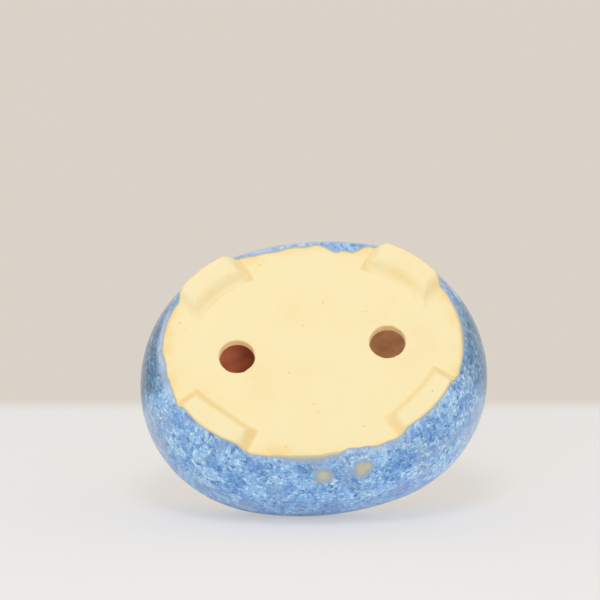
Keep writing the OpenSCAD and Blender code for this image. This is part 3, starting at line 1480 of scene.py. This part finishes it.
    def flank_spot(self, turn: float) -> Spot:
        """Places a point of the coat on the flank's clay.

        Args:
            turn: Its angle about the flank's centre.

        Returns:
            The spot.
        """
        radius = self.form.flank_r - self.form.glaze_t
        place = self.form.flank_centre + Vector((math.cos(turn), math.sin(turn))) * radius
        return Spot(place, (place - self.form.flank_centre).normalized())

    def thickness(self, point: Vector, from_low: float, from_high: float, column: GlazeColumn) -> float:
        """Gives the share of the glaze's full thickness at a point.

        Args:
            point: The point.
            from_low: Its distance from the glaze's lower edge.
            from_high: Its distance from the glaze's edge inside the mouth.
            column: Ends of the glaze at this part of the base's edge.

        Returns:
            Share of the full thickness.
        """
        low_tail = 1 - math.exp(-max(from_low, 0) / self.low_tail)
        high_tail = 1 - math.exp(-max(from_high, 0) / self.high_tail)
        bead = 0.3 * math.exp(-((from_low - self.bead_rise) / self.bead_width) ** 2)
        full = 0.84 + 0.08 * mottle(point, self.coat_grain, Layer.COAT) + bead * (1 - max(column.thin, 0.0))
        full -= 0.75 * column.thin * math.exp(-(max(from_low, 0) / column.fade) ** 2)
        full -= 0.6 * self.hollow(point)
        return max(0.0, min(full, 1.0)) * (low_tail * high_tail)

    def hollow(self, point: Vector) -> float:
        """Gives how far a thin spot thins the glaze at a point.

        Args:
            point: The point.

        Returns:
            Share of the thin spot, from 0 to 1.
        """
        if point.y >= 0:
            return 0.0
        ragged = 1 + 0.2 * mottle(point, self.spot_grain, Layer.SPOT_HEM)
        hollow = 0.0
        for spot in self.spots:
            rise = point.z - self.form.base_z - spot.rise
            far = math.hypot((point.x - spot.x) / spot.width, rise / spot.height) * ragged
            hollow = max(hollow, math.exp(-far ** 2.2))
        return hollow


@dataclass(frozen=True)
class Viewpoint:
    """Place of the camera, found from the pot's outline in the photograph."""

    lens: float = 300.0
    sensor: float = 36.0
    distance: float = 2.1285
    heading: float = math.radians(-2.781)
    rise: float = math.radians(62.82)
    roll: float = math.radians(176.888)
    base_px: tuple[float, float] = (312.2, 349.2)

    @cached_property
    def forward(self) -> Vector:
        """Direction of the view."""
        flat = math.cos(self.rise)
        return Vector((math.sin(self.heading) * flat, math.cos(self.heading) * flat, math.sin(self.rise)))

    @cached_property
    def right(self) -> Vector:
        """Direction of the picture's right."""
        level = self.forward.cross(Vector((0, 0, 1))).normalized()
        return level * math.cos(self.roll) + level.cross(self.forward) * math.sin(self.roll)

    @cached_property
    def up(self) -> Vector:
        """Direction of the picture's top."""
        return self.right.cross(self.forward)

    def ray(self, px: tuple[float, float]) -> Vector:
        """Gives the direction of sight through a pixel.

        Args:
            px: Pixel, counted from the top left.

        Returns:
            The direction, one unit deep.
        """
        scale = self.sensor / self.lens / PICTURE_SIDE
        middle = PICTURE_SIDE / 2
        return self.forward + self.right * (px[0] - middle) * scale + self.up * (middle - px[1]) * scale

    def place(self, base_z: float) -> Vector:
        """Finds the camera's place from where the middle of the base falls in the picture."""
        return Vector((0, 0, base_z)) - self.ray(self.base_px) * self.distance

    def build(self, base_z: float) -> bpy.types.Object:
        """Makes the camera.

        Args:
            base_z: Height of the underside of the base.

        Returns:
            The camera.
        """
        data = bpy.data.cameras.new("camera")
        data.lens = self.lens
        data.sensor_width = self.sensor
        data.clip_end = 20.0
        camera = bpy.data.objects.new("camera", data)
        turn = Matrix((self.right, self.up, -self.forward)).transposed().to_4x4()
        camera.matrix_world = Matrix.Translation(self.place(base_z)) @ turn
        bpy.context.collection.objects.link(camera)
        bpy.context.scene.camera = camera
        return camera


@dataclass(frozen=True)
class StageFinish(Finish):
    """Plain pale surface that shows from its front alone, and fades out where its fade attribute says so.

    Glow is the share of its shade that the camera sees whatever the light.
    """

    name: str
    color: Colour
    shade: Colour = (0.0, 0.0, 0.0)
    glow: float = 0.0

    def surface(self, graph: Graph) -> Socket:
        """Wires the surface.

        Args:
            graph: Nodes of the material.

        Returns:
            Its shader.
        """
        matt = graph.node("ShaderNodeBsdfDiffuse", {"Color": self.color})
        glow = graph.node("ShaderNodeEmission", {"Color": self.shade})
        seen = graph.math("MULTIPLY", graph.node("ShaderNodeLightPath").outputs["Is Camera Ray"], self.glow)
        front = graph.node("ShaderNodeMixShader", {0: seen, 1: matt.outputs[0], 2: glow.outputs[0]})
        fade = graph.node("ShaderNodeAttribute", attribute_name="fade").outputs["Fac"]
        return graph.one_sided(front.outputs[0], graph.span(fade, 0, 1))


@dataclass(frozen=True)
class ShadeFinish(Finish):
    """Painted shade: a dim brown glow past the mouth, which the camera sees through the drain holes and which
    shows from its front alone.

    Left and right are its colours behind the holes at -X and +X, and outer is the one beyond the right hole.
    """

    name: str = "painted_shade_sheet"
    left: Colour = (0.300, 0.125, 0.058)
    right: Colour = (0.105, 0.020, 0.010)
    outer: Colour = (0.330, 0.088, 0.042)
    span: tuple[float, float] = (22 * MM, 41 * MM)
    grain: float = 9 * MM

    def surface(self, graph: Graph) -> Socket:
        """Wires the shade.

        Args:
            graph: Nodes of the material.

        Returns:
            Its shader.
        """
        place = graph.node("ShaderNodeTexCoord").outputs["Object"]
        along = graph.node("ShaderNodeSeparateXYZ", {0: place}).outputs["X"]
        # Painted shade, darkest behind the hole at +X.
        lit = graph.mix(graph.span(along, *self.span), self.right, self.outer)
        color = graph.mix(graph.span(along, -self.span[0], self.span[0]), self.left, lit)
        patchy = graph.span(graph.noise(place, self.grain, 2), 0.2, 0.8, 0.7, 1.3)
        glow = graph.node("ShaderNodeEmission", {"Color": color, "Strength": patchy})
        return graph.one_sided(glow.outputs[0])


class Lamp(NamedTuple):
    """Soft square lamp, placed by its direction from the pot, which the glaze may mirror."""

    name: str
    towards: tuple[float, float, float]
    distance: float
    side: float
    power: float
    color: Colour
    mirrored: bool


@dataclass(frozen=True)
class Studio:
    """Floor, tipped table, lamps and surroundings."""

    form: PotForm
    view: Viewpoint
    look_down: float = math.radians(11)
    table_edge_px: float = 405.0
    floor_drop: float = 0.2 * MM
    floor_side: float = 3.0
    table_width: float = 0.9
    table_near: float = 1.2
    table_hem: float = 0.03
    shade_gap: float = 1 * MM
    floor_finish: StageFinish = StageFinish("pale_floor", (0.80, 0.80, 0.80), (0.80, 0.79, 0.78), 0.6)
    table_finish: StageFinish = StageFinish("pale_table", (0.85, 0.87, 0.89), (0.90, 0.845, 0.80), 0.45)
    surround: Colour = (0.70, 0.645, 0.575)
    daylight: Colour = (1.0, 0.965, 0.93)
    fill: float = 0.72
    lamps: tuple[Lamp, ...] = (
        Lamp("key", (0.34, -0.30, -0.92), 1.2, 0.9, 2.2, (0.95, 0.985, 1.0), False),
        Lamp("overhead", (-0.04, 0.42, -0.90), 1.0, 0.3, 2.0, (0.97, 0.99, 1.0), False),
        Lamp("top", (-0.4, -0.35, 0.85), 1.3, 1.1, 7.0, (1.0, 0.98, 0.96), True),
    )

    def slab(
        self, name: str, corners: list[Vector], finish: Finish, hem: Vector | None = None
    ) -> bpy.types.Object:
        """Makes one flat sheet of the stage.

        Args:
            name: Name of the sheet.
            corners: Its corners, in order about its front.
            finish: Finish that it wears.
            hem: Run of the strip inside the third and fourth corners over which the sheet fades out.

        Returns:
            The sheet.
        """
        bm = bmesh.new()
        fade = bm.verts.layers.float.new("fade")
        verts = [bm.verts.new(corner) for corner in corners]
        bm.faces.new(verts)
        if hem:
            geom = list(bm.verts) + list(bm.edges) + list(bm.faces)
            bmesh.ops.bisect_plane(bm, geom=geom, plane_co=corners[2] - hem, plane_no=hem)
            for vert in verts[2:]:
                vert[fade] = 1.0
        mesh = bpy.data.meshes.new(name)
        bm.to_mesh(mesh)
        bm.free()
        mesh.materials.append(finish.material)
        sheet = bpy.data.objects.new(name, mesh)
        sheet.visible_shadow = False
        bpy.context.collection.objects.link(sheet)
        return sheet

    @staticmethod
    def for_camera(sheet: bpy.types.Object) -> bpy.types.Object:
        """Leaves a sheet to the camera alone.

        Args:
            sheet: The sheet.

        Returns:
            The same sheet.
        """
        sheet.visible_diffuse = False
        sheet.visible_glossy = False
        sheet.visible_transmission = False
        return sheet

    def floor(self) -> bpy.types.Object:
        """Makes the level floor under the feet, which leaves the light on the underside alone.

        Returns:
            The floor.
        """
        half = self.floor_side / 2
        signs = ((-1, -1), (1, -1), (1, 1), (-1, 1))
        corners = [Vector((x * half, y * half, -self.floor_drop)) for x, y in signs]
        return self.for_camera(self.slab("floor", corners, self.floor_finish))

    def shade(self) -> bpy.types.Object:
        """Makes the sheet of painted shade over the mouth, a dim brown glow which the camera alone sees,
        through the drain holes.

        Returns:
            The shade.
        """
        height = self.form.rim_z + self.shade_gap
        rise = height - self.form.base_z
        corners = []
        for x, y in ((-1, -1), (-1, 1), (1, 1), (1, -1)):
            middle, radius = self.form.drains[x > 0]
            sight = middle + self.view.forward.xy * rise / self.view.forward.z
            corners.append(Vector((*sight + Vector((x, y)) * 2 * radius, height)))
        return self.for_camera(self.slab("shade", corners, ShadeFinish()))

    def table(self, coat: bpy.types.Object) -> bpy.types.Object:
        """Makes the table that the camera's view tips against the rim.

        Args:
            coat: Glaze that touches it.

        Returns:
            The table.
        """
        view = self.view
        level = view.up * math.cos(self.look_down) - view.forward * math.sin(self.look_down)
        away = level.cross(view.right)
        touch = min((vert.co for vert in coat.data.vertices), key=lambda co: co.dot(level))
        eye = view.place(self.form.base_z)
        sight = view.ray((PICTURE_SIDE / 2, self.table_edge_px))
        far = eye + sight * ((touch - eye).dot(level) / sight.dot(level))
        far = touch + away * (far - touch).dot(away)
        near = touch - away * self.table_near
        half = view.right * self.table_width / 2
        hem = away * self.table_hem
        corners = [near - half, near + half, far + half + hem / 2, far - half + hem / 2]
        return self.slab("table", corners, self.table_finish, hem)

    def light(self) -> None:
        """Sets the lamps and the even light of the surroundings."""
        middle = Vector((0, 0, self.form.belly_z / 2))
        for lamp in self.lamps:
            data = bpy.data.lights.new(lamp.name, "AREA")
            data.energy = lamp.power
            data.size = lamp.side
            data.color = lamp.color
            placed = bpy.data.objects.new(lamp.name, data)
            towards = Vector(lamp.towards).normalized()
            placed.location = middle + towards * lamp.distance
            placed.rotation_euler = towards.to_track_quat("Z", "Y").to_euler()
            placed.visible_glossy = lamp.mirrored
            bpy.context.collection.objects.link(placed)
        world = bpy.data.worlds.new("surroundings")
        world.use_nodes = True
        world.node_tree.nodes.clear()
        graph = Graph(world.node_tree)
        path = graph.node("ShaderNodeLightPath").outputs
        clear = graph.math("MAXIMUM", path["Is Glossy Ray"], path["Is Transmission Ray"])
        seen = graph.math("MAXIMUM", path["Is Camera Ray"], clear)
        lit = graph.node("ShaderNodeBackground", {"Color": self.daylight, "Strength": self.fill})
        shown = graph.node("ShaderNodeBackground", {"Color": self.surround, "Strength": 1.0})
        mixed = graph.node("ShaderNodeMixShader", {0: seen, 1: lit.outputs[0], 2: shown.outputs[0]})
        graph.node("ShaderNodeOutputWorld", {"Surface": mixed.outputs[0]})
        bpy.context.scene.world = world
        bpy.context.scene.view_settings.view_transform = "Standard"


def main() -> None:
    """Builds the pot, its finishes and its stage, and reports each piece."""
    logging.basicConfig(level=logging.INFO, format="%(name)s: %(message)s")
    form = PotForm()
    clay = ClayFinish("pot_clay")
    foot_clay = ClayFinish("foot_clay", body=(0.955, 0.835, 0.51))
    feet = tuple(Foot(form, corner) for corner in Corner)
    coat = GlazeCoat(form, feet)
    pieces = [BaseSlab(form).build(clay), PotWall(form).build(clay)]
    pieces += [foot.build(foot_clay) for foot in feet]
    pieces.append(coat.build(GlazeFinish()))
    for piece in pieces:
        log.info("%s: %d faces", piece.name, len(piece.data.polygons))
    view = Viewpoint()
    view.build(form.base_z)
    studio = Studio(form, view)
    studio.floor()
    studio.shade()
    studio.table(pieces[-1])
    studio.light()


if __name__ == "__main__":
    main()
